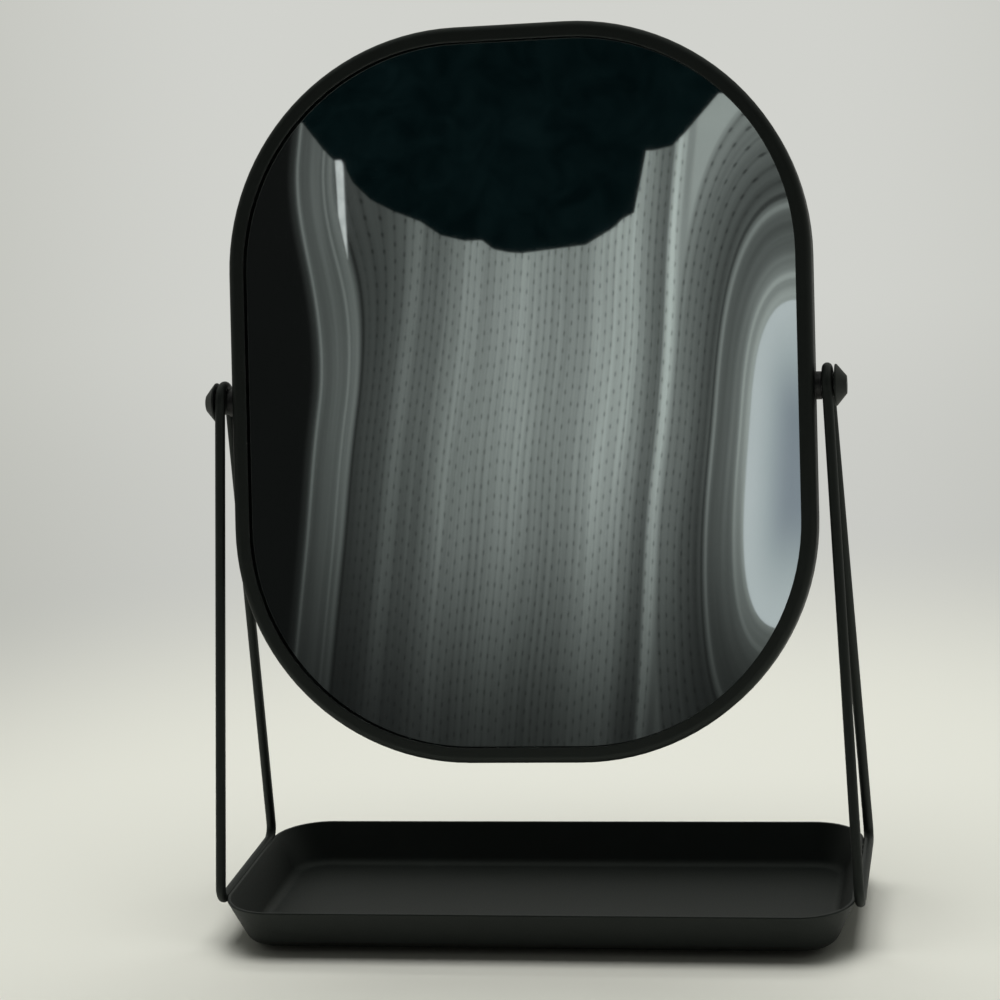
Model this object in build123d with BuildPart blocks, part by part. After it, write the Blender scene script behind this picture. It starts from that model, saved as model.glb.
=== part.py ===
"""Tabletop vanity mirror: a rounded mirror head that tilts between two wire loops standing on an open tray.

Millimetres. +Z is up and the mirror faces -Y, with +X to the right as it is looked at.
The origin is on the table, under the middle of the tray.
"""

from build123d import *
from math import asin, atan2, cos, degrees, hypot, radians, sin, tan
import os

os.makedirs("parts", exist_ok=True)

# ---------------------------------------------------------------- driving dimensions

CLOSE_GAP = 0.05            # parts that are held together but do not press on each other
RUNNING_GAP = 0.25          # faces that pass each other when the head tilts

# open tray, pressed from sheet
SHEET = 1.2
TRAY_LENGTH = 218.4         # along X, over the rim
TRAY_DEPTH = 95.4           # along Y, over the rim
TRAY_HEIGHT = 15.4          # rim above the underside of the floor
TRAY_FLARE = 7.2            # how far the rim stands out past the foot of the wall
TRAY_CORNER = 19.0          # plan radius of the rim corners
TRAY_FLOOR_BEND = 5.0       # outside radius between wall and floor
RIM_ROUND = 0.4

FOOT_DIAMETER = 10.0
FOOT_HEIGHT = 2.0
FOOT_X = 84.0
FOOT_Y = 28.0

# wire loops, one at each end of the tray
WIRE = 3.5
LOOP_BASE = 68.0            # between the two bottom corners, measured on the wire's centre line
LOOP_BASE_HEIGHT = 16.2
LOOP_TOP_X = 104.2          # wire centre line at the pivot
LOOP_EYE_RADIUS = 5.8       # wire centre line around the pivot
LOOP_BOTTOM_BEND = 4.5

WELD_RADIUS = 1.2
WELD_LENGTH = 9.0
WELD_Y = 17.0
WELD_X_IN = 1.95            # weld centre, in from the wire's centre line
WELD_Z_DOWN = 1.7           # and below it
WELD_END_ROUND = 0.9

# mirror head
PIVOT_HEIGHT = 186.7
REST_TILT = 12.0            # degrees that the top leans back
HEAD_WIDTH = 200.0
HEAD_HEIGHT = 249.6
HEAD_CORNER = 81.0
HEAD_FRONT = 7.0            # front face, ahead of the pivot axis
HEAD_BACK = 5.0             # back edge, behind it
FRAME_WALL = 2.0
FRAME_LIP = 1.0             # thickness of the lip that holds the glass
FRAME_FACE = 5.3            # width of the frame as seen from the front
FRAME_FRONT_ROUND = 2.4
FRAME_BACK_ROUND = 1.0
LIP_ROUND = 0.4
GLASS = 3.0
GLASS_EDGE_GAP = 0.4
BOARD = 2.5
BOARD_INSET = 7.0           # from the outside of the frame to the edge of the board
COVER = 1.2
COVER_RECESS = 0.2
COVER_EDGE_GAP = 0.2

FOAM_DIAMETER = 26.0
FOAM_X_PITCH = 110.0
FOAM_Z_PITCH = 82.0

LUG_WIDTH = 10.0
LUG_REACH = 8.0
LUG_THICKNESS = 2.5
LUG_ANGLE = 45.0            # degrees round each corner of the frame
SCREW_IN = 4.2              # from the frame's inner wall to the screw
SCREW_SHANK = 2.6
SCREW_HEAD = 4.6
SCREW_HEAD_ANGLE = 90.0
SCREW_LENGTH = 4.5
SCREW_SLOT_LENGTH = 2.6
SCREW_SLOT_WIDTH = 0.55
SCREW_SLOT_DEPTH = 0.6

# pivots
STUD = 4.0
STUD_HOLE = 4.1
STUD_INNER_END = 94.3
STUD_OUTER_END = 109.2
NUT_WIDTH = 5.8             # front to back
NUT_HEIGHT = 12.0
NUT_THICKNESS = 3.2
SPACER_DIAMETER = 9.4
SPACER_END = 102.05
BUSH_DIAMETER = 8.2
BUSH_END = 106.1
WASHER_DIAMETER = 9.0
WASHER_THICKNESS = 0.6
WASHER_STANDOUT = 0.1       # how far the washer stands out of the knob's recess
KNOB_BASE_DIAMETER = 14.0
KNOB_TIP_DIAMETER = 6.0
KNOB_TIP_X = 110.4
KNOB_LAND = 0.6             # straight band at the knob's base
KNOB_BORE_END = 109.5
KNOB_EDGE_ROUND = 0.3

# ---------------------------------------------------------------- places worked out from them

SIDES = (("left", -1), ("right", 1))

WIRE_RADIUS = WIRE / 2
RIM_HEIGHT = FOOT_HEIGHT + TRAY_HEIGHT
FLARE_ANGLE = degrees(atan2(TRAY_FLARE, TRAY_HEIGHT))
# The sheet's inner face at floor level lies this far inside its outer face at the underside.
WALL_INSET = SHEET / cos(radians(FLARE_ANGLE)) - SHEET * TRAY_FLARE / TRAY_HEIGHT
TRAY_END = TRAY_LENGTH / 2 - (RIM_HEIGHT - LOOP_BASE_HEIGHT) * TRAY_FLARE / TRAY_HEIGHT
LOOP_BOTTOM_X = TRAY_END + CLOSE_GAP + WIRE_RADIUS / cos(radians(FLARE_ANGLE))

LIP_BACK = HEAD_FRONT - FRAME_LIP
GLASS_BACK = LIP_BACK - GLASS
BOARD_BACK = GLASS_BACK - BOARD
COVER_BACK = -HEAD_BACK + COVER_RECESS
COVER_FRONT = COVER_BACK + COVER
HALF_WIDTH = HEAD_WIDTH / 2
POCKET_CORNER = HEAD_CORNER - FRAME_WALL
BUSH_START = SPACER_END + RUNNING_GAP
WASHER_START = BUSH_END + RUNNING_GAP
KNOB_START = WASHER_START + WASHER_STANDOUT
KNOB_RECESS = WASHER_THICKNESS - WASHER_STANDOUT + CLOSE_GAP

# The head is drawn flat in this plane: its x is +X, its y runs up the mirror, its z points forwards.
TILT = radians(REST_TILT)
HEAD_NORMAL = Vector(0, -cos(TILT), sin(TILT))
HEAD = Plane(origin=(0, 0, PIVOT_HEIGHT), x_dir=(1, 0, 0), z_dir=HEAD_NORMAL)
BEHIND = Plane(origin=HEAD.offset(COVER_BACK).origin, x_dir=(-1, 0, 0), z_dir=-HEAD_NORMAL)

# A screw sits part of the way round each corner of the head, and its axis comes out of the back.
SCREW_RADIUS = POCKET_CORNER - SCREW_IN
SCREW_X = HALF_WIDTH - HEAD_CORNER + SCREW_RADIUS * cos(radians(LUG_ANGLE))
SCREW_Y = HEAD_HEIGHT / 2 - HEAD_CORNER + SCREW_RADIUS * sin(radians(LUG_ANGLE))
SCREW_HEAD_HEIGHT = (SCREW_HEAD - SCREW_SHANK) / 2 / tan(radians(SCREW_HEAD_ANGLE / 2))
CORNERS = [(right, up) for right in (1, -1) for up in (1, -1)]
SCREW_SPOTS = [BEHIND.from_local_coords((right * SCREW_X, up * SCREW_Y, 0)) for right, up in CORNERS]
SCREW_PLACES = [Location(Plane(spot, x_dir=BEHIND.x_dir, z_dir=BEHIND.z_dir)) for spot in SCREW_SPOTS]


def head_outline(inset, mode=Mode.ADD):
    """The head's rounded outline, drawn this far inside its outer edge."""
    RectangleRounded(HEAD_WIDTH - 2 * inset, HEAD_HEIGHT - 2 * inset, HEAD_CORNER - inset, mode=mode)


def pivot_plane(sign, x):
    """A plane across the pivot axis, this far out from the middle and facing outwards."""
    return Plane(origin=(sign * x, 0, PIVOT_HEIGHT), x_dir=HEAD.y_dir, z_dir=(sign, 0, 0))


# ---------------------------------------------------------------- tray and feet

# The hollow follows the pressing one sheet thickness inside it, and runs out through the top.
with BuildPart() as tray_hollow:
    with BuildSketch(Plane.XY.offset(FOOT_HEIGHT + SHEET)):
        RectangleRounded(
            TRAY_LENGTH - 2 * (TRAY_FLARE + WALL_INSET),
            TRAY_DEPTH - 2 * (TRAY_FLARE + WALL_INSET),
            TRAY_CORNER - TRAY_FLARE - WALL_INSET,
        )
    extrude(amount=TRAY_HEIGHT, taper=-FLARE_ANGLE)
    fillet(tray_hollow.faces().sort_by(Axis.Z)[0].edges(), radius=TRAY_FLOOR_BEND - SHEET)

with BuildPart() as tray:
    with BuildSketch(Plane.XY.offset(FOOT_HEIGHT)):
        RectangleRounded(TRAY_LENGTH - 2 * TRAY_FLARE, TRAY_DEPTH - 2 * TRAY_FLARE, TRAY_CORNER - TRAY_FLARE)
    extrude(amount=TRAY_HEIGHT, taper=-FLARE_ANGLE)
    fillet(tray.faces().sort_by(Axis.Z)[0].edges(), radius=TRAY_FLOOR_BEND)
    add(tray_hollow.part, mode=Mode.SUBTRACT)
    fillet(tray.faces().sort_by(Axis.Z)[-1].edges(), radius=RIM_ROUND)
tray.part.label = "tray"
export_step(tray.part, "parts/tray.step")

with BuildPart() as rubber_feet:
    with BuildSketch(Plane.XY):
        with GridLocations(2 * FOOT_X, 2 * FOOT_Y, 2, 2):
            Circle(FOOT_DIAMETER / 2)
    extrude(amount=FOOT_HEIGHT)
rubber_feet.part.label = "rubber_feet"
export_step(rubber_feet.part, "parts/rubber_feet.step")

# ---------------------------------------------------------------- wire loops, their welds and pivot bushes

# Each loop is a narrow triangle of wire. Seen along X its two legs are tangent to the eye around the pivot.
loop_rise = hypot(PIVOT_HEIGHT - LOOP_BASE_HEIGHT, LOOP_BOTTOM_X - LOOP_TOP_X)
leg_reach = hypot(LOOP_BASE / 2, loop_rise)
leg_angle = atan2(LOOP_BASE / 2, loop_rise) - asin(LOOP_EYE_RADIUS / leg_reach)
peak = LOOP_EYE_RADIUS / sin(leg_angle)

for side, sign in SIDES:
    lean = Vector(sign * (LOOP_TOP_X - LOOP_BOTTOM_X), 0, PIVOT_HEIGHT - LOOP_BASE_HEIGHT)
    loop_plane = Plane(
        origin=(sign * LOOP_TOP_X, 0, PIVOT_HEIGHT), x_dir=(0, 1, 0), z_dir=Vector(0, 1, 0).cross(lean)
    )

    with BuildPart() as wire_loop:
        with BuildLine(loop_plane) as centre_line:
            FilletPolyline(
                (0, peak),
                (LOOP_BASE / 2, -loop_rise),
                (-LOOP_BASE / 2, -loop_rise),
                radius=[LOOP_EYE_RADIUS, LOOP_BOTTOM_BEND, LOOP_BOTTOM_BEND],
                close=True,
            )
        path = centre_line.wires()[0]
        with BuildSketch(Plane(origin=path @ 0, z_dir=path % 0)):
            Circle(WIRE_RADIUS)
        sweep(path=path)
    wire_loop.part.label = f"{side}_wire_loop"
    export_step(wire_loop.part, f"parts/{side}_wire_loop.step")
    print(f"{side} wire loop: {path.length:.1f} mm of wire")

    # Two short welds lie in the groove under the loop's bottom run and join it to the tray's end wall.
    weld_x = sign * (LOOP_BOTTOM_X - WELD_X_IN)
    weld_z = LOOP_BASE_HEIGHT - WELD_Z_DOWN
    with BuildPart() as loop_welds:
        for weld_y in (-WELD_Y, WELD_Y):
            with BuildSketch(Plane(origin=(weld_x, weld_y - WELD_LENGTH / 2, weld_z), z_dir=(0, 1, 0))):
                Circle(WELD_RADIUS)
            extrude(amount=WELD_LENGTH)
        fillet(loop_welds.edges().filter_by(GeomType.CIRCLE), radius=WELD_END_ROUND)
        add(wire_loop.part, mode=Mode.SUBTRACT)
        add(tray.part, mode=Mode.SUBTRACT)
    loop_welds.part.label = f"{side}_loop_welds"
    export_step(loop_welds.part, f"parts/{side}_loop_welds.step")

    with BuildPart() as pivot_bush:
        with BuildSketch(pivot_plane(sign, BUSH_START)):
            Circle(BUSH_DIAMETER / 2)
            Circle(STUD_HOLE / 2, mode=Mode.SUBTRACT)
        extrude(amount=BUSH_END - BUSH_START)
    pivot_bush.part.label = f"{side}_pivot_bush"
    export_step(pivot_bush.part, f"parts/{side}_pivot_bush.step")

# ---------------------------------------------------------------- mirror head

with BuildPart() as mirror_frame:
    with BuildSketch(HEAD.offset(-HEAD_BACK)):
        head_outline(0)
    extrude(amount=HEAD_FRONT + HEAD_BACK)
    fillet(mirror_frame.faces().sort_by(Axis(HEAD.origin, HEAD_NORMAL))[-1].edges(), radius=FRAME_FRONT_ROUND)
    fillet(mirror_frame.faces().sort_by(Axis(HEAD.origin, HEAD_NORMAL))[0].edges(), radius=FRAME_BACK_ROUND)
    with BuildSketch(HEAD.offset(-HEAD_BACK)):
        head_outline(FRAME_WALL)
    extrude(amount=HEAD_BACK + LIP_BACK, mode=Mode.SUBTRACT)
    with BuildSketch(HEAD.offset(LIP_BACK)):
        head_outline(FRAME_FACE)
    extrude(amount=FRAME_LIP, mode=Mode.SUBTRACT)
    lip_face = mirror_frame.faces().sort_by(Axis(HEAD.origin, HEAD_NORMAL))[-1]
    fillet(lip_face.inner_wires()[0].edges(), radius=LIP_ROUND)
    with BuildSketch(pivot_plane(-1, HALF_WIDTH)):
        Circle(STUD_HOLE / 2)
    extrude(amount=-HEAD_WIDTH, mode=Mode.SUBTRACT)
mirror_frame.part.label = "mirror_frame"
export_step(mirror_frame.part, "parts/mirror_frame.step")

with BuildPart() as mirror_glass:
    with BuildSketch(HEAD.offset(GLASS_BACK)):
        head_outline(FRAME_WALL + GLASS_EDGE_GAP)
    extrude(amount=GLASS)
mirror_glass.part.label = "mirror_glass"
export_step(mirror_glass.part, "parts/mirror_glass.step")

with BuildPart() as backing_board:
    with BuildSketch(HEAD.offset(BOARD_BACK)):
        head_outline(BOARD_INSET)
    extrude(amount=BOARD)
backing_board.part.label = "backing_board"
export_step(backing_board.part, "parts/backing_board.step")

with BuildPart() as foam_pads:
    with BuildSketch(HEAD.offset(COVER_FRONT)):
        with GridLocations(FOAM_X_PITCH, FOAM_Z_PITCH, 2, 3):
            Circle(FOAM_DIAMETER / 2)
    extrude(amount=BOARD_BACK - COVER_FRONT)
foam_pads.part.label = "foam_pads"
export_step(foam_pads.part, "parts/foam_pads.step")

# Four lugs are welded round the inside of the frame for the cover's screws.
with BuildPart() as cover_lugs:
    with BuildSketch(HEAD.offset(COVER_FRONT)):
        for right, up in CORNERS:
            with Locations(Location((right * SCREW_X, up * SCREW_Y), right * up * LUG_ANGLE)):
                Rectangle(2 * LUG_REACH, LUG_WIDTH)
        head_outline(FRAME_WALL, mode=Mode.INTERSECT)
        with Locations(*[(right * SCREW_X, up * SCREW_Y) for right, up in CORNERS]):
            Circle(SCREW_SHANK / 2 + CLOSE_GAP, mode=Mode.SUBTRACT)
    extrude(amount=LUG_THICKNESS)
cover_lugs.part.label = "cover_lugs"
export_step(cover_lugs.part, "parts/cover_lugs.step")

with BuildPart() as back_cover:
    with BuildSketch(HEAD.offset(COVER_BACK)):
        head_outline(FRAME_WALL + COVER_EDGE_GAP)
    extrude(amount=COVER)
    with Locations(*SCREW_PLACES):
        CounterSinkHole(SCREW_SHANK / 2 + CLOSE_GAP, SCREW_HEAD / 2, counter_sink_angle=SCREW_HEAD_ANGLE)
back_cover.part.label = "back_cover"
export_step(back_cover.part, "parts/back_cover.step")

with BuildPart() as back_cover_screws:
    hang = (Align.CENTER, Align.CENTER, Align.MAX)
    with Locations(*SCREW_PLACES):
        Cone(SCREW_SHANK / 2, SCREW_HEAD / 2, SCREW_HEAD_HEIGHT, align=hang)
        Cylinder(SCREW_SHANK / 2, SCREW_LENGTH, align=hang)
        Box(SCREW_SLOT_LENGTH, SCREW_SLOT_WIDTH, SCREW_SLOT_DEPTH, align=hang, mode=Mode.SUBTRACT)
        Box(SCREW_SLOT_WIDTH, SCREW_SLOT_LENGTH, SCREW_SLOT_DEPTH, align=hang, mode=Mode.SUBTRACT)
back_cover_screws.part.label = "back_cover_screws"
export_step(back_cover_screws.part, "parts/back_cover_screws.step")

# ---------------------------------------------------------------- pivots, from the inside of the frame outwards

for side, sign in SIDES:
    with BuildPart() as weld_nut:
        with BuildSketch(pivot_plane(sign, HALF_WIDTH - FRAME_WALL)):
            Rectangle(NUT_HEIGHT, NUT_WIDTH)
            Circle(STUD_HOLE / 2, mode=Mode.SUBTRACT)
        extrude(amount=-NUT_THICKNESS)
    weld_nut.part.label = f"{side}_weld_nut"
    export_step(weld_nut.part, f"parts/{side}_weld_nut.step")

    with BuildPart() as stud:
        with BuildSketch(pivot_plane(sign, STUD_INNER_END)):
            Circle(STUD / 2)
        extrude(amount=STUD_OUTER_END - STUD_INNER_END)
    stud.part.label = f"{side}_stud"
    export_step(stud.part, f"parts/{side}_stud.step")

    with BuildPart() as inner_washer:
        with BuildSketch(pivot_plane(sign, HALF_WIDTH)):
            Circle(SPACER_DIAMETER / 2)
            Circle(STUD_HOLE / 2, mode=Mode.SUBTRACT)
        extrude(amount=SPACER_END - HALF_WIDTH)
    inner_washer.part.label = f"{side}_inner_washer"
    export_step(inner_washer.part, f"parts/{side}_inner_washer.step")

    with BuildPart() as outer_washer:
        with BuildSketch(pivot_plane(sign, WASHER_START)):
            Circle(WASHER_DIAMETER / 2)
            Circle(STUD_HOLE / 2, mode=Mode.SUBTRACT)
        extrude(amount=WASHER_THICKNESS)
    outer_washer.part.label = f"{side}_outer_washer"
    export_step(outer_washer.part, f"parts/{side}_outer_washer.step")

    # The knob is a blunt cone turned about the pivot axis, with a recess for the washer and a blind thread.
    with BuildPart() as knob:
        with BuildSketch(Plane(origin=(0, 0, PIVOT_HEIGHT), x_dir=(sign, 0, 0), z_dir=(0, -sign, 0))):
            with BuildLine():
                Polyline(
                    (KNOB_START, 0),
                    (KNOB_START, KNOB_BASE_DIAMETER / 2),
                    (KNOB_START + KNOB_LAND, KNOB_BASE_DIAMETER / 2),
                    (KNOB_TIP_X, KNOB_TIP_DIAMETER / 2),
                    (KNOB_TIP_X, 0),
                    close=True,
                )
            make_face()
        revolve(axis=Axis((0, 0, PIVOT_HEIGHT), (1, 0, 0)))
        fillet(knob.edges().filter_by(GeomType.CIRCLE), radius=KNOB_EDGE_ROUND)
        with BuildSketch(pivot_plane(sign, KNOB_START)):
            Circle(WASHER_DIAMETER / 2 + CLOSE_GAP)
        extrude(amount=KNOB_RECESS, mode=Mode.SUBTRACT)
        with BuildSketch(pivot_plane(sign, KNOB_START)):
            Circle(STUD_HOLE / 2)
        extrude(amount=KNOB_BORE_END - KNOB_START, mode=Mode.SUBTRACT)
    knob.part.label = f"{side}_knob"
    export_step(knob.part, f"parts/{side}_knob.step")
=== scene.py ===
# %% [markdown]
# # A tabletop mirror between two wire loops
#
# The object is a rounded mirror in a slim black frame. It tilts between two closed loops of round wire, and
# the loops stand on the ends of a shallow open tray. Every outer metal piece is powder-coated the same
# satin black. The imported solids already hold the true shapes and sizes. So the work here is in three parts:
# the camera and the light, the finish of each surface, and the thin silver that makes a mirror out of a
# sheet of glass.

import math

import bmesh
import bpy
from mathutils import Matrix, Vector


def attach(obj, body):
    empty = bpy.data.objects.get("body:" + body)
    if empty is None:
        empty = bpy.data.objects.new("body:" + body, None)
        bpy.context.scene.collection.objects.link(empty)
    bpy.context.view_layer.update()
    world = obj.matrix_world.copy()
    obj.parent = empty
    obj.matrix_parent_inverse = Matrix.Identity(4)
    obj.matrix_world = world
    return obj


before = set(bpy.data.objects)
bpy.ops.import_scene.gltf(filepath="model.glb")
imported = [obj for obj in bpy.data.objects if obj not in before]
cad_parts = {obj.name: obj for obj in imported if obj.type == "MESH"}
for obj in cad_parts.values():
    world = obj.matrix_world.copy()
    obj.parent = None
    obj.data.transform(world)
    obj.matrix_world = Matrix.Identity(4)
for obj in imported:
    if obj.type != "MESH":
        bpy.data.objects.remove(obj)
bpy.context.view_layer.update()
MM = 0.001

# %% [markdown]
# ## The camera
#
# A small object that is photographed from about a metre away keeps a little perspective: the front rim of
# the tray is wider than the rear one. The lens below gives that amount. The camera stands to the right of
# the mirror, looks slightly down at it, and was held a few degrees off level.

# %% Place the camera
CAMERA_DISTANCE = 0.900
CAMERA_TURN = math.radians(11.2)      # to the right of straight in front
CAMERA_RISE = math.radians(12.1)      # above level
CAMERA_ROLL = math.radians(-3.65)
LENS_OVER_FRAME = 2.622               # focal length, in widths of the picture
AIM = Vector((-9.2, 0.0, 150.1)) * MM
SENSOR = 36.0


def camera_axes(turn, rise, roll):
    """Right, up and backward directions of a camera that looks at the mirror."""
    backward = Vector((math.sin(turn) * math.cos(rise), -math.cos(turn) * math.cos(rise), math.sin(rise)))
    level = Vector((0, 0, 1)).cross(backward).normalized()
    upright = backward.cross(level)
    right = math.cos(roll) * level + math.sin(roll) * upright
    up = math.cos(roll) * upright - math.sin(roll) * level
    return right, up, backward


right, up, backward = camera_axes(CAMERA_TURN, CAMERA_RISE, CAMERA_ROLL)
camera_data = bpy.data.cameras.new("camera")
camera_data.lens = LENS_OVER_FRAME * SENSOR
camera_data.sensor_width = SENSOR
camera = bpy.data.objects.new("camera", camera_data)
camera.matrix_world = (
    Matrix.Translation(AIM + backward * CAMERA_DISTANCE)
    @ Matrix((right, up, backward)).transposed().to_4x4()
)
bpy.context.scene.collection.objects.link(camera)
bpy.context.scene.camera = camera
print("camera at", [round(v, 3) for v in camera.matrix_world.translation])

# %% [markdown]
# ## Colours and nodes
#
# Colours are easiest to read as hex, the way an image editor shows them, but Blender calculates with linear
# light. One function does the conversion. A second one adds a node, sets it and wires it, and every
# material uses it.

# %% Helpers for materials
def colour(text):
    """A colour written as in an image editor, turned to the linear values that Blender works with."""
    channels = [int(text[i : i + 2], 16) / 255 for i in (1, 3, 5)]
    return [c / 12.92 if c <= 0.04045 else ((c + 0.055) / 1.055) ** 2.4 for c in channels] + [1.0]


def add(tree, kind, inputs=None, ramp=None, **settings):
    """Adds a node. An input given a socket is wired to it, any other is set, and a ramp gets its stops."""
    node = tree.nodes.new(kind)
    for name, value in settings.items():
        setattr(node, name, value)
    for name, value in (inputs or {}).items():
        if isinstance(value, bpy.types.NodeSocket):
            tree.links.new(value, node.inputs[name])
        else:
            node.inputs[name].default_value = value
    for number, (position, value) in enumerate(ramp or []):
        stops = node.color_ramp.elements
        stop = stops[number] if number < len(stops) else stops.new(position)
        stop.position = position
        stop.color = value
    return node


def new_material(name):
    """An empty material, its node tree, its output and the place on the object that patterns start from."""
    material = bpy.data.materials.new(name)
    material.use_nodes = True
    tree = material.node_tree
    tree.nodes.clear()
    place = add(tree, "ShaderNodeTexCoord").outputs["Object"]
    return material, tree, add(tree, "ShaderNodeOutputMaterial"), place


def paint(nodes, material):
    """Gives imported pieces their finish."""
    for name in nodes:
        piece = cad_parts[name]
        piece.data.materials.clear()
        piece.data.materials.append(material)
    print(material.name, "on", ", ".join(nodes))


def link_in(thing):
    """Puts a new object into the scene."""
    bpy.context.scene.collection.objects.link(thing)
    return thing


# %% [markdown]
# ## Powder coat
#
# Powder coat is a baked polyester skin. It hides the metal, and its surface is never quite smooth: it has a
# grain of a few tenths of a millimetre that breaks up each reflection. So the shader is a plain dielectric
# with a middling roughness, and two layers of bump: the fine grain, and the slow waviness that is called
# orange peel. A satin black has little light of its own. What the eye reads of the shape is the soft sheen
# along its edges and on faces that it sees at a shallow angle, such as the floor of the tray.

# %% Black powder coat
GRAIN = 0.45 * MM                     # the real grain is nearer 0.2 mm, drawn coarser so that it shows
ORANGE_PEEL = 3.0 * MM
DUST = 12.0 * MM                      # how far apart the faintly greyer patches of handling and dust are


def make_powder_coat():
    material, tree, output, place = new_material("satin_black_powder_coat")
    grain = add(
        tree, "ShaderNodeTexNoise", {"Vector": place, "Scale": 1 / GRAIN, "Detail": 3.0, "Roughness": 0.6},
    )
    peel = add(tree, "ShaderNodeTexNoise", {"Vector": place, "Scale": 1 / ORANGE_PEEL, "Detail": 1.0})
    dust = add(
        tree, "ShaderNodeTexNoise", {"Vector": place, "Scale": 1 / DUST, "Detail": 4.0, "Roughness": 0.7},
    )
    wavy = add(tree, "ShaderNodeBump", {"Height": peel.outputs[0], "Distance": 0.02 * MM, "Strength": 0.5})
    grainy = add(
        tree, "ShaderNodeBump",
        {"Height": grain.outputs[0], "Distance": 0.02 * MM, "Strength": 0.6, "Normal": wavy.outputs[0]},
    )
    tone = add(
        tree, "ShaderNodeValToRGB", {"Fac": grain.outputs[0]},
        ramp=[(0.35, colour("#040605")), (0.70, colour("#090b0a"))],
    )
    dusty = add(
        tree, "ShaderNodeMapRange",
        {"Value": dust.outputs[0], "From Min": 0.52, "From Max": 0.80, "To Min": 0.0, "To Max": 0.30},
    )
    finish = add(
        tree, "ShaderNodeMix",
        {"Factor": dusty.outputs[0], "A": tone.outputs[0], "B": colour("#161918")}, data_type="RGBA",
    )
    rough = add(
        tree, "ShaderNodeMapRange",
        {"Value": grain.outputs[0], "From Min": 0.3, "From Max": 0.7, "To Min": 0.52, "To Max": 0.64},
    )
    shader = add(
        tree, "ShaderNodeBsdfPrincipled",
        {
            "Base Color": finish.outputs["Result"], "Roughness": rough.outputs[0], "IOR": 1.5,
            "Specular Tint": colour("#e9f4ee"), "Normal": grainy.outputs[0],
        },
    )
    tree.links.new(shader.outputs[0], output.inputs["Surface"])
    return material


COATED = [
    "tray", "left_wire_loop", "right_wire_loop", "left_loop_welds", "right_loop_welds", "left_pivot_bush",
    "right_pivot_bush", "mirror_frame", "cover_lugs", "back_cover", "left_knob", "right_knob",
]
paint(COATED, make_powder_coat())

# %% [markdown]
# ## Mirror glass
#
# A mirror is a sheet of clear float glass with silver on its back. The silver does the reflecting, and the
# glass in front of it doubles every edge: beside the frame the eye sees the lip once directly and once in
# the silver, so the rim has a thin dark line along its inside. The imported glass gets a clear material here.
# Float glass has an IOR of 1.52, a trace of green, and a surface so smooth that only wiping marks give it
# any roughness at all.

# %% Clear glass
WIPE_MARK = 35.0 * MM                 # size of the faint smears that wiping leaves


def make_float_glass():
    material, tree, output, place = new_material("clear_float_glass")
    smear = add(
        tree, "ShaderNodeTexNoise",
        {"Vector": place, "Scale": 1 / WIPE_MARK, "Detail": 5.0, "Distortion": 1.2},
    )
    rough = add(
        tree, "ShaderNodeMapRange",
        {"Value": smear.outputs[0], "From Min": 0.55, "From Max": 0.8, "To Min": 0.0, "To Max": 0.02},
    )
    shader = add(
        tree, "ShaderNodeBsdfPrincipled",
        {
            "Base Color": colour("#f6fafa"), "Roughness": rough.outputs[0], "IOR": 1.52,
            "Transmission Weight": 1.0,
        },
    )
    tree.links.new(shader.outputs[0], output.inputs["Surface"])
    return material


paint(["mirror_glass"], make_float_glass())

# %% [markdown]
# ## Silver
#
# The silver is a skin a few thousandths of a millimetre thick, deposited on the back of the glass. It needs
# a surface of its own, because the light passes through the glass before it meets the silver. The surest
# way to give it the glass's outline is to copy the glass's back face. The copy lies just inside that face.
# Silver on glass is as smooth as the glass, and only a trace of cloudiness makes one area a little duller
# than the next.

# %% Silver behind the glass
SILVER_IN = 0.06 * MM                 # how far the silver lies inside the glass's back face
CLOUD = 60.0 * MM
HEAD_TILT = math.radians(12.0)
HEAD_FACING = Vector((0, -math.cos(HEAD_TILT), math.sin(HEAD_TILT)))


def make_silver():
    material, tree, output, place = new_material("deposited_silver")
    cloud = add(tree, "ShaderNodeTexNoise", {"Vector": place, "Scale": 1 / CLOUD, "Detail": 3.0})
    tone = add(
        tree, "ShaderNodeValToRGB", {"Fac": cloud.outputs[0]},
        ramp=[(0.35, colour("#ebeeed")), (0.65, colour("#f2f4f4"))],
    )
    shader = add(
        tree, "ShaderNodeBsdfPrincipled",
        {"Base Color": tone.outputs[0], "Metallic": 1.0, "Roughness": 0.012},
    )
    tree.links.new(shader.outputs[0], output.inputs["Surface"])
    return material


def back_face_of(piece, facing, lift):
    """A mesh of the faces of a piece that look this way, moved inwards by lift."""
    copy = bmesh.new()
    copy.from_mesh(piece.data)
    turned_away = [face for face in copy.faces if face.normal.dot(facing) < 0.99]
    bmesh.ops.delete(copy, geom=turned_away, context="FACES")
    bmesh.ops.translate(copy, verts=copy.verts, vec=-facing * lift)
    mesh = bpy.data.meshes.new("silvering")
    copy.to_mesh(mesh)
    copy.free()
    return mesh


silvering = link_in(
    bpy.data.objects.new("silvering", back_face_of(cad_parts["mirror_glass"], -HEAD_FACING, SILVER_IN))
)
silvering.data.materials.append(make_silver())
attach(silvering, "head")
print("silvering:", len(silvering.data.polygons), "faces")

# %% [markdown]
# ## Rubber feet
#
# The four feet are compression-moulded rubber pads. Rubber has no gloss to speak of: it scatters light at
# every angle, and dust sticks to it, so its black is a little grey and blotchy. The mould leaves a fine
# spark-eroded texture of about half a millimetre.

# %% Moulded rubber
RUBBER_TEXTURE = 0.5 * MM
RUBBER_DUST = 4.0 * MM


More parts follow.
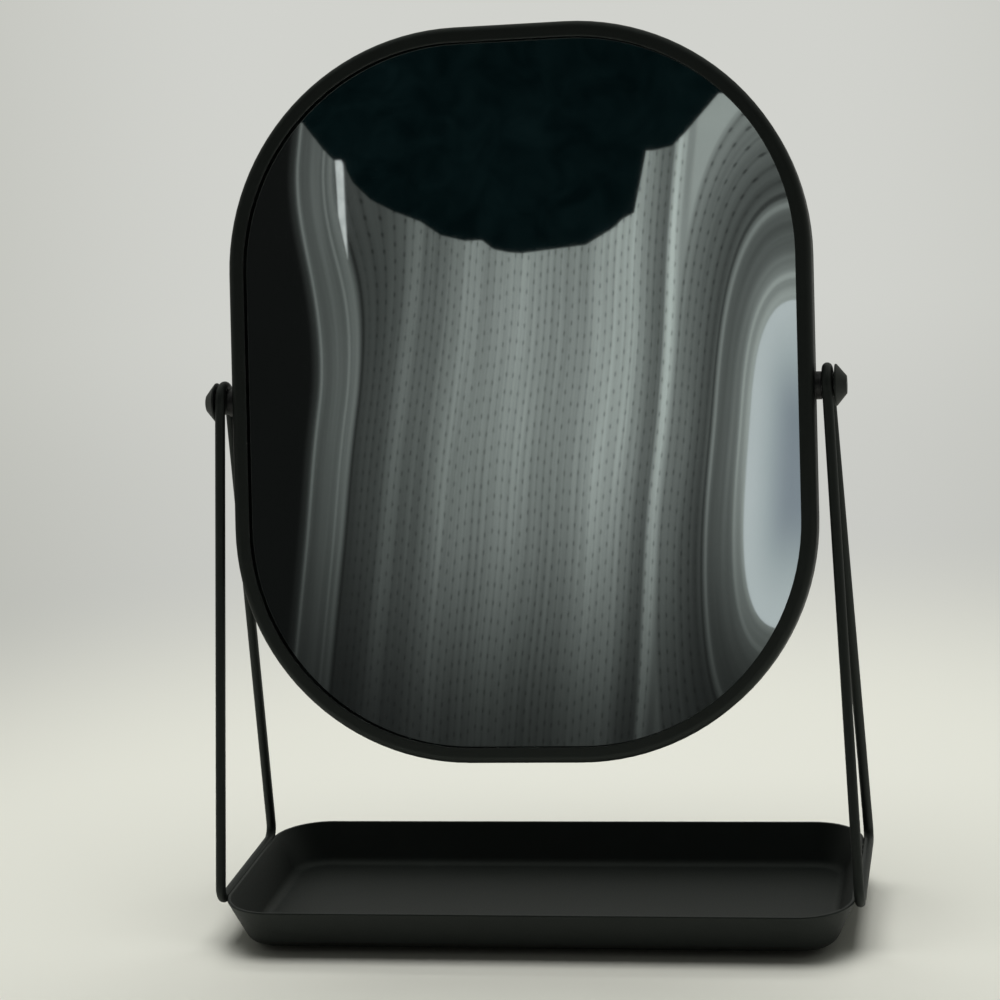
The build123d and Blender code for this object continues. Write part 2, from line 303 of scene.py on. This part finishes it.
def make_rubber():
    material, tree, output, place = new_material("moulded_black_rubber")
    pits = add(tree, "ShaderNodeTexVoronoi", {"Vector": place, "Scale": 1 / RUBBER_TEXTURE})
    dust = add(tree, "ShaderNodeTexNoise", {"Vector": place, "Scale": 1 / RUBBER_DUST, "Detail": 4.0})
    tone = add(
        tree, "ShaderNodeValToRGB", {"Fac": dust.outputs[0]},
        ramp=[(0.40, colour("#121312")), (0.75, colour("#262724"))],
    )
    bump = add(
        tree, "ShaderNodeBump", {"Height": pits.outputs["Distance"], "Distance": 0.06 * MM, "Strength": 0.5},
    )
    shader = add(
        tree, "ShaderNodeBsdfPrincipled",
        {"Base Color": tone.outputs[0], "Roughness": 0.82, "IOR": 1.52, "Normal": bump.outputs[0]},
    )
    tree.links.new(shader.outputs[0], output.inputs["Surface"])
    return material


paint(["rubber_feet"], make_rubber())

# %% [markdown]
# ## Turned nylon
#
# The spacers between the frame and the loops are parted off a black nylon rod on a lathe. The tool leaves
# fine rings round the axis, which runs from left to right. Nylon is slightly waxy: an IOR of 1.53 and a
# roughness near one half. The rings are a wave over the distance from the pivot axis.

# %% Black nylon
TOOL_MARK = 0.25 * MM                 # feed of the lathe tool per turn
SCUFF = 1.5 * MM                      # size of the patches where handling has dulled it
PIVOT = (0.0, 0.0, 186.7 * MM)        # a point on the axis that the head tilts about


def rings_round_the_pivot(tree, place, spacing):
    """Rings round the pivot axis, as turning leaves them on a face."""
    from_axis = add(tree, "ShaderNodeVectorMath", {0: place, 1: PIVOT}, operation="SUBTRACT")
    across = add(
        tree, "ShaderNodeVectorMath", {0: from_axis.outputs[0], 1: (0.0, 1.0, 1.0)}, operation="MULTIPLY",
    )
    radius = add(tree, "ShaderNodeVectorMath", {0: across.outputs[0]}, operation="LENGTH")
    turns = add(
        tree, "ShaderNodeMath", {0: radius.outputs["Value"], 1: 2 * math.pi / spacing}, operation="MULTIPLY",
    )
    return add(tree, "ShaderNodeMath", {0: turns.outputs[0]}, operation="SINE").outputs[0]


def make_nylon():
    material, tree, output, place = new_material("turned_black_nylon")
    rings = rings_round_the_pivot(tree, place, TOOL_MARK)
    bump = add(tree, "ShaderNodeBump", {"Height": rings, "Distance": 0.01 * MM, "Strength": 0.6})
    scuff = add(tree, "ShaderNodeTexNoise", {"Vector": place, "Scale": 1 / SCUFF, "Detail": 4.0})
    tone = add(
        tree, "ShaderNodeValToRGB", {"Fac": scuff.outputs[0]},
        ramp=[(0.40, colour("#0c0d0d")), (0.72, colour("#1a1b1b"))],
    )
    shader = add(
        tree, "ShaderNodeBsdfPrincipled",
        {
            "Base Color": tone.outputs[0], "Roughness": 0.52, "IOR": 1.53, "Specular IOR Level": 0.4,
            "Normal": bump.outputs[0],
        },
    )
    tree.links.new(shader.outputs[0], output.inputs["Surface"])
    return material


paint(["left_inner_washer", "right_inner_washer"], make_nylon())

# %% [markdown]
# ## Zinc plate
#
# Small steel hardware is plated with zinc. Left clear it is a bluish silver, and passivated black it is a
# dark metal that still shines. Both have the same cloudy spangle, a millimetre or so across, and the same
# fine scratches from tumbling in the plating barrel. One function makes both. Only the tone and the
# roughness differ.

# %% Bright and black zinc
SPANGLE = 0.9 * MM
BARREL_SCRATCH = 0.35 * MM


def make_zinc(name, dark, pale, roughness):
    material, tree, output, place = new_material(name)
    spangle = add(tree, "ShaderNodeTexNoise", {"Vector": place, "Scale": 1 / SPANGLE, "Detail": 3.0})
    scratch = add(
        tree, "ShaderNodeTexNoise",
        {"Vector": place, "Scale": 1 / BARREL_SCRATCH, "Detail": 2.0, "Distortion": 2.5},
    )
    tone = add(
        tree, "ShaderNodeValToRGB", {"Fac": spangle.outputs[0]},
        ramp=[(0.35, colour(dark)), (0.65, colour(pale))],
    )
    rough = add(
        tree, "ShaderNodeMapRange",
        {
            "Value": scratch.outputs[0], "From Min": 0.3, "From Max": 0.7,
            "To Min": roughness - 0.06, "To Max": roughness + 0.08,
        },
    )
    bump = add(tree, "ShaderNodeBump", {"Height": scratch.outputs[0], "Distance": 0.01 * MM, "Strength": 0.5})
    shader = add(
        tree, "ShaderNodeBsdfPrincipled",
        {
            "Base Color": tone.outputs[0], "Metallic": 1.0, "Roughness": rough.outputs[0],
            "Normal": bump.outputs[0],
        },
    )
    tree.links.new(shader.outputs[0], output.inputs["Surface"])
    return material


paint(
    ["left_stud", "right_stud", "left_weld_nut", "right_weld_nut"],
    make_zinc("bright_zinc_plate", "#9fa3a7", "#c2c6c9", 0.32),
)
paint(
    ["left_outer_washer", "right_outer_washer", "back_cover_screws"],
    make_zinc("black_zinc_plate", "#202123", "#34363a", 0.36),
)

# %% [markdown]
# ## Hardboard and foam
#
# Behind the glass, out of sight, a hardboard sheet keeps it flat and foam pads press it against the lip.
# Hardboard is hot-pressed wood fibre: short brown strands in every direction, about a millimetre long.
# Closed-cell foam is a mass of bubbles half a millimetre across, and its cut face shows them as shallow
# cups.

# %% Pressed hardboard
FIBRE = 1.1 * MM


def make_hardboard():
    material, tree, output, place = new_material("pressed_hardboard")
    fibres = add(
        tree, "ShaderNodeTexNoise",
        {"Vector": place, "Scale": 1 / FIBRE, "Detail": 6.0, "Roughness": 0.65, "Distortion": 3.0},
    )
    tone = add(
        tree, "ShaderNodeValToRGB", {"Fac": fibres.outputs[0]},
        ramp=[(0.30, colour("#3f2716")), (0.52, colour("#6b4a2f")), (0.75, colour("#8d6a47"))],
    )
    bump = add(tree, "ShaderNodeBump", {"Height": fibres.outputs[0], "Distance": 0.05 * MM, "Strength": 0.5})
    shader = add(
        tree, "ShaderNodeBsdfPrincipled",
        {"Base Color": tone.outputs[0], "Roughness": 0.78, "IOR": 1.5, "Normal": bump.outputs[0]},
    )
    tree.links.new(shader.outputs[0], output.inputs["Surface"])
    return material


paint(["backing_board"], make_hardboard())

# %% Closed-cell foam
BUBBLE = 0.5 * MM


def make_foam():
    material, tree, output, place = new_material("closed_cell_foam")
    bubbles = add(tree, "ShaderNodeTexVoronoi", {"Vector": place, "Scale": 1 / BUBBLE})
    tone = add(
        tree, "ShaderNodeValToRGB", {"Fac": bubbles.outputs["Distance"]},
        ramp=[(0.10, colour("#2b2b2d")), (0.60, colour("#48484b"))],
    )
    bump = add(
        tree, "ShaderNodeBump",
        {"Height": bubbles.outputs["Distance"], "Distance": 0.12 * MM, "Strength": 0.7},
    )
    shader = add(
        tree, "ShaderNodeBsdfPrincipled",
        {"Base Color": tone.outputs[0], "Roughness": 0.95, "IOR": 1.5, "Normal": bump.outputs[0]},
    )
    tree.links.new(shader.outputs[0], output.inputs["Surface"])
    return material


paint(["foam_pads"], make_foam())

# %% [markdown]
# ## What the mirror sees
# They glow, and no lamp lights them: every light and shade on them is painted.
#
# A mirror has no look of its own: it shows what stands in front of it. In a studio that is staged like
# anything else. Here a grey-green drape hangs 2.4 m in front of the mirror, a black flag covers its top,
# and a pale card stands at its right. They are seen by reflections only, so they neither light the object
# nor block a view.
#
# The drape is one flat sheet, and its shader shades its folds. Modelled folds would look the same in the
# mirror and would be harder to place. The cloth is woven with rows of small dark dashes, thin pale lines run
# along some of its folds, and thin dark lines of painted shade lie in some of its creases. First the shader
# bends the cloth: a new coordinate runs across it, swings out near the top at the left, and goes round the
# ends of the card at the right. Everything else is drawn along that one coordinate, so shades, threads and
# dashes all follow the same folds. A list says how much light each fold catches.

# %% Measure the drape
DRAPE_PLACE = Vector((-0.452, -2.4, 0.8))   # the point that the middle of the mirror shows
DRAPE_LEAN = math.radians(3.9)              # it does not hang quite plumb
DRAPE_HALF_WIDTH = 1.8
DRAPE_BELOW, DRAPE_ABOVE = 0.8, 1.6
SWING = 0.064                               # how far the left folds swing out near the top
SWING_FROM, SWING_FULL = -0.04, 0.30        # the heights where the swing begins and is full
SWUNG_LEFT, SWUNG_RIGHT = -0.29, -0.15      # the places across where it is full and where it ends
RIPPLE_LENGTH, RIPPLE = 0.25, 0.016         # the folds wander a little: how slowly, and how far
print("drape at", list(DRAPE_PLACE), "width", 2 * DRAPE_HALF_WIDTH, "height", DRAPE_BELOW + DRAPE_ABOVE)

# %% Measure the card and the folds round it
CARD_LEFT, CARD_MIDDLE = 0.300, -0.090      # its left edge and its middle height, from the drape's place
CARD_CORE, CARD_END = 0.36, 0.50            # its two rounded sides begin here
CARD_HALF = 0.045                           # half the height of its straight part
CARD_STRETCH = 2.8                          # how much taller than wide the folds round it are
STREAK, STREAK_SOFT = 0.186, 0.02           # the folds right of this bright streak go round the card
BESIDE_STREAK = STREAK + 0.007              # the outermost fold that goes round it
FOLDS_END = 0.65                            # beyond the card the folds run out into the dark by here

# %% List the folds
# Across the cloth in metres, and the part of the full light that the cloth catches there.
FOLDS = (
    (-0.282, 0.00), (-0.272, 0.06), (-0.268, 0.20), (-0.258, 0.16), (-0.245, 0.25), (-0.230, 0.20),
    (-0.220, 0.38), (-0.216, 0.10), (-0.190, 0.13), (-0.172, 0.20), (-0.157, 0.39), (-0.146, 0.26),
    (-0.120, 0.30), (-0.085, 0.58), (-0.055, 0.52), (-0.008, 0.72), (0.035, 0.55), (0.070, 0.57),
    (0.105, 0.87), (0.138, 0.86), (0.160, 0.36), (0.177, 0.26), (0.181, 1.10), (0.189, 1.10),
    (0.196, 0.45), (0.215, 0.32), (0.243, 0.13), (0.252, 0.32), (0.262, 0.18), (0.282, 0.34), (0.299, 0.80),
)
PALE_FOLD_LINES = (-0.267, -0.231, 0.254, 0.288)     # thin pale lines along the folds' edges
CREASE_SHADE_LINES = (-0.214, 0.249)                   # thin dark lines of painted shade in the creases
LINE_HALF_WIDTH = 2.2 * MM
PALE_LINE_LIGHT, CREASE_SHADE_DEPTH = 0.22, 0.7      # the light that the pale lines add, and the part of the light that painted crease shade takes
print("folds:", len(FOLDS), "pale_lines:", len(PALE_FOLD_LINES), "creases:", len(CREASE_SHADE_LINES))

# %% Describe the weave
CLOTH = colour("#9ca29e")
CLOTH_SHADE = 0.016                         # the little light that reaches even the deepest fold
DARK_BELOW, FULL_ABOVE = -0.50, 0.0         # painted shade: the drape grows darker towards its foot, between these heights
FOOT_LIGHT = 0.08                           # the part of the light that is left there
THREAD, THREAD_LENGTH = 5.0 * MM, 0.35      # streaks along the folds, drawn coarse so that they show
ROW_GAP, DASH_GAP = 8.8 * MM, 23.0 * MM     # between two rows of dashes, and between two dashes of a row
DASH_DEPTH, BETWEEN_DASHES = 0.75, 0.30     # how dark a dash is, and the part of that between two of them
WEAVE_LEFT, WEAVE_RIGHT = -0.212, 0.247     # the dashes end at the outermost folds
WEAVE_SOFT = 12.0 * MM
MIRROR_LOSS = 1.2                           # glass and silver swallow a sixth of the light


# %% Helpers for sums in a shader
def calculate(tree, operation, *values):
    """The result of one sum on numbers or sockets."""
    return add(tree, "ShaderNodeMath", dict(enumerate(values)), operation=operation).outputs[0]


def ease(tree, value, low, high, start=0.0, end=1.0):
    """Start below low, end above high, and a smooth change between."""
    return add(
        tree, "ShaderNodeMapRange",
        {"Value": value, "From Min": low, "From Max": high, "To Min": start, "To Max": end},
        interpolation_type="SMOOTHSTEP",
    ).outputs[0]


# %% [markdown]
# The folds go round the card as rounded rectangles. The distance from the card's core, with its two parts
# cubed, added and rooted again, gives corners that are squarer than a circle's. Beyond the card it runs out
# into the dark.

# %% Bend the cloth
def rounded_distance(tree, across, height):
    """How far a point of the cloth is from the card's core, along rounded corners."""
    left_of = calculate(tree, "SUBTRACT", CARD_CORE, across)
    right_of = calculate(tree, "SUBTRACT", across, CARD_END)
    beside = calculate(tree, "MAXIMUM", calculate(tree, "MAXIMUM", left_of, right_of), 0.0)
    beyond = calculate(tree, "ABSOLUTE", calculate(tree, "SUBTRACT", height, CARD_MIDDLE))
    beyond = calculate(tree, "MAXIMUM", calculate(tree, "SUBTRACT", beyond, CARD_HALF), 0.0)
    beyond = calculate(tree, "DIVIDE", beyond, CARD_STRETCH)
    beside_cubed, beyond_cubed = [calculate(tree, "POWER", part, 3.0) for part in (beside, beyond)]
    cubes = calculate(tree, "ADD", beside_cubed, beyond_cubed)
    return calculate(tree, "POWER", cubes, 1 / 3)


def bent_cloth(tree, place):
    """The height on the drape, and the place across its cloth once the folds have bent it."""
    parts = add(tree, "ShaderNodeSeparateXYZ", {0: place})
    across, height = parts.outputs["X"], parts.outputs["Z"]
    ripple = add(tree, "ShaderNodeTexNoise", {"Vector": place, "Scale": 1 / RIPPLE_LENGTH, "Detail": 0.0})
    ripple = calculate(tree, "SUBTRACT", ripple.outputs[0], 0.5)
    across = calculate(tree, "MULTIPLY_ADD", ripple, RIPPLE, across)
    high_up = ease(tree, height, SWING_FROM, SWING_FULL)
    swing = calculate(tree, "MULTIPLY", high_up, ease(tree, across, SWUNG_RIGHT, SWUNG_LEFT))
    swung = calculate(tree, "MULTIPLY_ADD", swing, SWING, across)
    rounded = calculate(tree, "SUBTRACT", CARD_CORE, rounded_distance(tree, across, height))
    lowest = ease(tree, across, CARD_CORE, FOLDS_END, BESIDE_STREAK, FOLDS[0][0])
    rounded = calculate(tree, "MAXIMUM", rounded, lowest)
    round_card = ease(tree, across, STREAK, STREAK + STREAK_SOFT)
    bent = add(tree, "ShaderNodeMix", {"Factor": round_card, "A": swung, "B": rounded}, data_type="FLOAT")
    return height, bent.outputs["Result"]


# %% [markdown]
# A weave repeats, so its pattern is a sum that repeats: the fraction that is left after dividing by the
# gap. Taking half from that fraction gives the distance from the middle of each gap, and easing it draws a
# soft-edged mark. Each row of dashes starts at a random height, so the rows don't line up.

# %% Weave the dashes and draw the lines
def from_middle(tree, repeats):
    """The distance from the middle of each repeat, from nothing to one half."""
    fraction = calculate(tree, "FRACT", repeats)
    return calculate(tree, "ABSOLUTE", calculate(tree, "SUBTRACT", fraction, 0.5))


def woven_dashes(tree, along, height):
    """One inside the dark dashes of the weave, nothing outside them."""
    row = calculate(tree, "DIVIDE", along, ROW_GAP)
    line = ease(tree, from_middle(tree, row), 0.14, 0.05)
    start = add(tree, "ShaderNodeTexWhiteNoise", {"W": calculate(tree, "FLOOR", row)}, noise_dimensions="1D")
    step = calculate(tree, "ADD", calculate(tree, "DIVIDE", height, DASH_GAP), start.outputs["Value"])
    dash = ease(tree, from_middle(tree, step), 0.17, 0.09, BETWEEN_DASHES, 1.0)
    left_end = ease(tree, along, WEAVE_LEFT, WEAVE_LEFT + WEAVE_SOFT)
    right_end = ease(tree, along, WEAVE_RIGHT, WEAVE_RIGHT - WEAVE_SOFT)
    where = calculate(tree, "MULTIPLY", left_end, right_end)
    return calculate(tree, "MULTIPLY", calculate(tree, "MULTIPLY", line, dash), where)


def thin_lines(tree, along, places):
    """One on each of these lines across the cloth, nothing between them."""
    lines = 0.0
    for place in places:
        near = calculate(tree, "ABSOLUTE", calculate(tree, "SUBTRACT", along, place))
        lines = calculate(tree, "ADD", lines, ease(tree, near, LINE_HALF_WIDTH, LINE_HALF_WIDTH / 3))
    return lines


# %% Shade the cloth
def darkened(tree, light, amount, depth):
    """The light, less this depth of it wherever the amount is one."""
    return calculate(tree, "MULTIPLY", light, calculate(tree, "MULTIPLY_ADD", amount, -depth, 1.0))


def fold_light(tree, along):
    """The light that the folds catch, from the list."""
    first, last = FOLDS[0][0], FOLDS[-1][0]
    position = add(tree, "ShaderNodeMapRange", {"Value": along, "From Min": first, "From Max": last})
    stops = [((x - first) / (last - first), [light, light, light, 1.0]) for x, light in FOLDS]
    return add(tree, "ShaderNodeValToRGB", {"Fac": position.outputs[0]}, ramp=stops).outputs[0]


def thread_streaks(tree, along, height):
    """Lighter and darker threads, long up the cloth and narrow across it."""
    place = add(
        tree, "ShaderNodeCombineXYZ",
        {0: calculate(tree, "DIVIDE", along, THREAD), 1: calculate(tree, "DIVIDE", height, THREAD_LENGTH)},
    )
    threads = add(tree, "ShaderNodeTexNoise", {"Vector": place.outputs[0], "Scale": 1.0, "Detail": 3.0})
    streaky = add(
        tree, "ShaderNodeMapRange",
        {"Value": threads.outputs[0], "From Min": 0.3, "From Max": 0.7, "To Min": 0.80, "To Max": 1.20},
    )
    return streaky.outputs[0]


def make_drape_cloth():
    material, tree, output, place = new_material("staged_drape")
    height, along = bent_cloth(tree, place)
    light = calculate(tree, "MULTIPLY", fold_light(tree, along), thread_streaks(tree, along, height))
    # Pale lines along the folds' edges add light.
    light = calculate(tree, "MULTIPLY_ADD", thin_lines(tree, along, PALE_FOLD_LINES), PALE_LINE_LIGHT, light)
    # Painted shade in the creases.
    light = darkened(tree, light, thin_lines(tree, along, CREASE_SHADE_LINES), CREASE_SHADE_DEPTH)
    light = darkened(tree, light, woven_dashes(tree, along, height), DASH_DEPTH)
    # Painted shade: darker towards the drape's foot.
    light = calculate(tree, "MULTIPLY", light, ease(tree, height, DARK_BELOW, FULL_ABOVE, FOOT_LIGHT, 1.0))
    light = calculate(tree, "ADD", light, CLOTH_SHADE)
    cloth = add(tree, "ShaderNodeVectorMath", {0: CLOTH[:3], "Scale": light}, operation="SCALE")
    # The card glows too. It is painted paler at its left edge and darker towards its core.
    card_light = add(
        tree, "ShaderNodeValToRGB", {"Fac": ease(tree, along, CARD_LEFT, CARD_CORE)},
        ramp=[(0.0, colour("#acb2b3")), (0.45, colour("#99a1a3")), (1.0, colour("#7b838a"))],
    )
    on_card = calculate(tree, "GREATER_THAN", along, CARD_LEFT)
    shown = add(
        tree, "ShaderNodeMix", {"Factor": on_card, "A": cloth.outputs[0], "B": card_light.outputs[0]},
        data_type="RGBA",
    )
    # The drape glows: all its light and shade is painted, and no lamp lights it.
    glow = add(tree, "ShaderNodeEmission", {"Color": shown.outputs["Result"], "Strength": MIRROR_LOSS})
    tree.links.new(glow.outputs[0], output.inputs["Surface"])
    return material


# %% Hang the drape
def seen_in_reflections_only(thing):
    """Hides a stage piece from the camera and keeps it out of the lighting."""
    thing.visible_camera = False
    thing.visible_diffuse = False
    thing.visible_shadow = False


def flat_sheet(name, corners, faces, material):
    """A stage piece made of flat faces."""
    mesh = bpy.data.meshes.new(name)
    mesh.from_pydata(corners, [], faces)
    mesh.materials.append(material)
    print(name, "with", len(corners), "corners")
    return link_in(bpy.data.objects.new(name, mesh))


drape = flat_sheet(
    "drape",
    [
        (-DRAPE_HALF_WIDTH, 0, -DRAPE_BELOW), (DRAPE_HALF_WIDTH, 0, -DRAPE_BELOW),
        (DRAPE_HALF_WIDTH, 0, DRAPE_ABOVE), (-DRAPE_HALF_WIDTH, 0, DRAPE_ABOVE),
    ],
    [(0, 1, 2, 3)], make_drape_cloth(),
)
drape.location = DRAPE_PLACE
drape.rotation_euler = (0, DRAPE_LEAN, 0)
seen_in_reflections_only(drape)

# %% [markdown]
# The flag is a sheet of black cloth with a torn lower edge. Its points are in metres, across and up, at the
# distance of the drape. A narrow sliver of white lining shows where its left corner folds over.

# %% Hang the flag
FLAG_IN_FRONT = 0.02
FLAG_EDGE = (
    (-2.2, 1.220), (-0.753, 1.163), (-0.723, 1.124), (-0.708, 1.108), (-0.698, 1.108), (-0.681, 1.076),
    (-0.656, 1.051), (-0.625, 1.034), (-0.588, 1.018), (-0.560, 0.998), (-0.527, 0.989), (-0.505, 0.989),
    (-0.489, 0.976), (-0.469, 0.971), (-0.452, 0.969), (-0.367, 0.977), (-0.330, 0.999), (-0.319, 1.010),
    (-0.304, 1.018), (-0.289, 1.101), (-0.278, 1.101), (-0.255, 1.106), (-0.239, 1.122), (-0.195, 1.174),
    (1.4, 1.300),
)
FLAG_TOP = 3.0
FLAG_MOTTLE, LINING_MOTTLE = 0.05, 0.02     # size of the faint patches in each cloth
LINING = ((-0.709, 1.112), (-0.702, 1.034), (-0.687, 0.972), (-0.693, 1.041), (-0.698, 1.112))


def make_mottled_cloth(name, dark, pale, size):
    """A faintly mottled cloth that glows with painted light and shade, seen only by reflections."""
    material, tree, output, place = new_material(name)
    mottle = add(
        tree, "ShaderNodeTexNoise", {"Vector": place, "Scale": 1 / size, "Detail": 4.0, "Distortion": 1.0},
    )
    tone = add(
        tree, "ShaderNodeValToRGB", {"Fac": mottle.outputs[0]},
        ramp=[(0.35, colour(dark)), (0.75, colour(pale))],
    )
    glow = add(tree, "ShaderNodeEmission", {"Color": tone.outputs[0], "Strength": MIRROR_LOSS})
    tree.links.new(glow.outputs[0], output.inputs["Surface"])
    return material


flag_depth = DRAPE_PLACE.y + FLAG_IN_FRONT
lower = [(x, flag_depth, z) for x, z in FLAG_EDGE]
upper = [(x, flag_depth, FLAG_TOP) for x, z in FLAG_EDGE]
count = len(FLAG_EDGE)
flag = flat_sheet(
    "flag", lower + upper, [(i, i + 1, count + i + 1, count + i) for i in range(count - 1)],
    make_mottled_cloth("staged_flag", "#030b0c", "#091415", FLAG_MOTTLE),
)
seen_in_reflections_only(flag)
lining = flat_sheet(
    "flag_lining", [(x, flag_depth - FLAG_IN_FRONT / 2, z) for x, z in LINING], [(0, 1, 2, 3, 4)],
    make_mottled_cloth("staged_lining", "#a9adab", "#c4c7c5", LINING_MOTTLE),
)
seen_in_reflections_only(lining)

# %% [markdown]
# ## Studio
#
# The floor is pale paper. Near the object it takes real light and shadow. Further off it fades into a glowing
# tone that only the camera and reflections see, so the background is plain from every side and adds no
# light. That tone has a painted pool of light that makes it a little paler in the middle of the view, as
# where a lamp's light falls on a backdrop, and a painted shade that makes it a little darker close to the
# object.
# The light itself comes from above and behind, and the room on the camera's side is dark. That is what
# keeps a black object black: its front faces have little to reflect.

# %% Tone the backdrop
# Painted light: the backdrop's middle is paler, like a pool of lamp light.
BACKDROP_LIGHT_POOL, BACKDROP_SIDES = colour("#d1d2cd"), colour("#c0c1ba")
LIGHT_POOL_TURN = 0.175                     # the painted pool of light lies to the left of straight ahead, by this slope
LIGHT_POOL_HALF, DULL_HALF = 0.10, 0.30     # slopes to either side of that where the tone begins to change and ends
AHEAD_FULL, AHEAD_NONE = 0.86, 0.36   # no painted pool of light beside or behind the camera


def backdrop_tone_with_light_pool(tree, across, ahead):
    """The tone far behind the object, with a painted pool of light that makes the middle of the view a little
    paler than its sides.
    """
    fan = calculate(tree, "ADD", calculate(tree, "DIVIDE", across, ahead), LIGHT_POOL_TURN)
    aside = ease(tree, calculate(tree, "ABSOLUTE", fan), LIGHT_POOL_HALF, DULL_HALF)
    aside = calculate(tree, "MAXIMUM", aside, ease(tree, ahead, AHEAD_FULL, AHEAD_NONE))
    return add(
        tree, "ShaderNodeMix", {"Factor": aside, "A": BACKDROP_LIGHT_POOL, "B": BACKDROP_SIDES}, data_type="RGBA",
    ).outputs["Result"]


def rays_that_see(tree, path):
    """One for rays that show the background, which are the camera's, mirrored ones and those in glass."""
    seen = calculate(tree, "MAXIMUM", path["Is Camera Ray"], path["Is Glossy Ray"])
    return calculate(tree, "MAXIMUM", seen, path["Is Transmission Ray"])


# %% Lay the floor
FLOOR_REACH = 40.0
NEAR, FAR = 0.24, 0.62                # metres from the object where the fade begins and ends
NEAR_SHADE, NEAR_SHADE_UNTIL, FULL_FROM = 0.92, 0.5, 1.6   # painted shade: the far tone is a little dimmer close to the object
PAPER = colour("#dcdcd2")
PAPER_FIBRE = 0.8 * MM


def make_paper():
    material, tree, output, place = new_material("matt_paper")
    fibre = add(tree, "ShaderNodeTexNoise", {"Vector": place, "Scale": 1 / PAPER_FIBRE, "Detail": 2.0})
    bump = add(tree, "ShaderNodeBump", {"Height": fibre.outputs[0], "Distance": 0.03 * MM, "Strength": 0.3})
    paper = add(tree, "ShaderNodeBsdfDiffuse", {"Color": PAPER, "Normal": bump.outputs[0]})
    parts = add(tree, "ShaderNodeSeparateXYZ", {0: place}).outputs
    away = add(tree, "ShaderNodeVectorMath", {0: place}, operation="LENGTH").outputs["Value"]
    stand_point = camera.matrix_world.translation
    across = calculate(tree, "SUBTRACT", parts["X"], stand_point.x)
    # The far floor carries the painted pool of light.
    tone = backdrop_tone_with_light_pool(tree, across, calculate(tree, "SUBTRACT", parts["Y"], stand_point.y))
    # Painted shade: the glow is dimmer close to the object.
    strength = ease(tree, away, NEAR_SHADE_UNTIL, FULL_FROM, NEAR_SHADE, 1.0)
    even = add(tree, "ShaderNodeEmission", {"Color": tone, "Strength": strength})
    seen = rays_that_see(tree, add(tree, "ShaderNodeLightPath").outputs)
    amount = calculate(tree, "MULTIPLY", ease(tree, away, NEAR, FAR), seen)
    mixed = add(tree, "ShaderNodeMixShader", {0: amount, 1: paper.outputs[0], 2: even.outputs[0]})
    tree.links.new(mixed.outputs[0], output.inputs["Surface"])
    return material


floor = flat_sheet(
    "studio_floor",
    [
        (-FLOOR_REACH, -FLOOR_REACH, 0), (FLOOR_REACH, -FLOOR_REACH, 0),
        (FLOOR_REACH, FLOOR_REACH, 0), (-FLOOR_REACH, FLOOR_REACH, 0),
    ],
    [(0, 1, 2, 3)], make_paper(),
)

# %% Hang the lamp
LAMP_PLACE, LAMP_AIM = Vector((0.0, 0.15, 1.05)), Vector((0.0, 0.04, 0.0))
LAMP_SIZE, LAMP_POWER = 0.9, 11.7

lamp_data = bpy.data.lights.new("soft_overhead", "AREA")
lamp_data.size = LAMP_SIZE
lamp_data.energy = LAMP_POWER
lamp = link_in(bpy.data.objects.new("soft_overhead", lamp_data))
lamp.location = LAMP_PLACE
lamp.rotation_euler = (LAMP_AIM - LAMP_PLACE).to_track_quat("-Z", "Y").to_euler()
lamp.visible_glossy = False
print("lamp at", list(LAMP_PLACE), "size", LAMP_SIZE, "power", LAMP_POWER)

# %% Light the room
FILL = 0.50                           # how strongly the room lights the object from behind and above
DARK_SIDE = 0.20                      # the part of that which comes from the camera's side
ROOM_TONE = colour("#d3d5d0")
ABOVE = 0.6                           # how much being above counts beside being behind
DARK_UNTIL, LIGHT_FROM = -0.3, 0.9

world = bpy.data.worlds.new("studio")
bpy.context.scene.world = world
world.use_nodes = True
sky = world.node_tree
sky.nodes.clear()
towards = add(sky, "ShaderNodeTexCoord").outputs["Generated"]
direction = add(sky, "ShaderNodeSeparateXYZ", {0: towards}).outputs
behind = calculate(sky, "MULTIPLY_ADD", direction["Z"], ABOVE, direction["Y"])
side = ease(sky, behind, DARK_UNTIL, LIGHT_FROM, DARK_SIDE, 1.0)
path = add(sky, "ShaderNodeLightPath").outputs
seen = rays_that_see(sky, path)
# The backdrop that the camera and reflections see carries the painted pool of light.
backdrop = add(
    sky, "ShaderNodeBackground",
    {
        "Color": backdrop_tone_with_light_pool(sky, direction["X"], direction["Y"]),
        "Strength": calculate(sky, "MAXIMUM", side, path["Is Camera Ray"]),
    },
)
fill = add(
    sky, "ShaderNodeBackground",
    {"Color": ROOM_TONE, "Strength": calculate(sky, "MULTIPLY", side, FILL)},
)
both = add(sky, "ShaderNodeMixShader", {0: seen, 1: fill.outputs[0], 2: backdrop.outputs[0]})
add(sky, "ShaderNodeOutputWorld", {"Surface": both.outputs[0]})
bpy.context.scene.view_settings.view_transform = "Standard"
print("world:", len(sky.nodes), "nodes, fill", FILL, "dark side", DARK_SIDE)
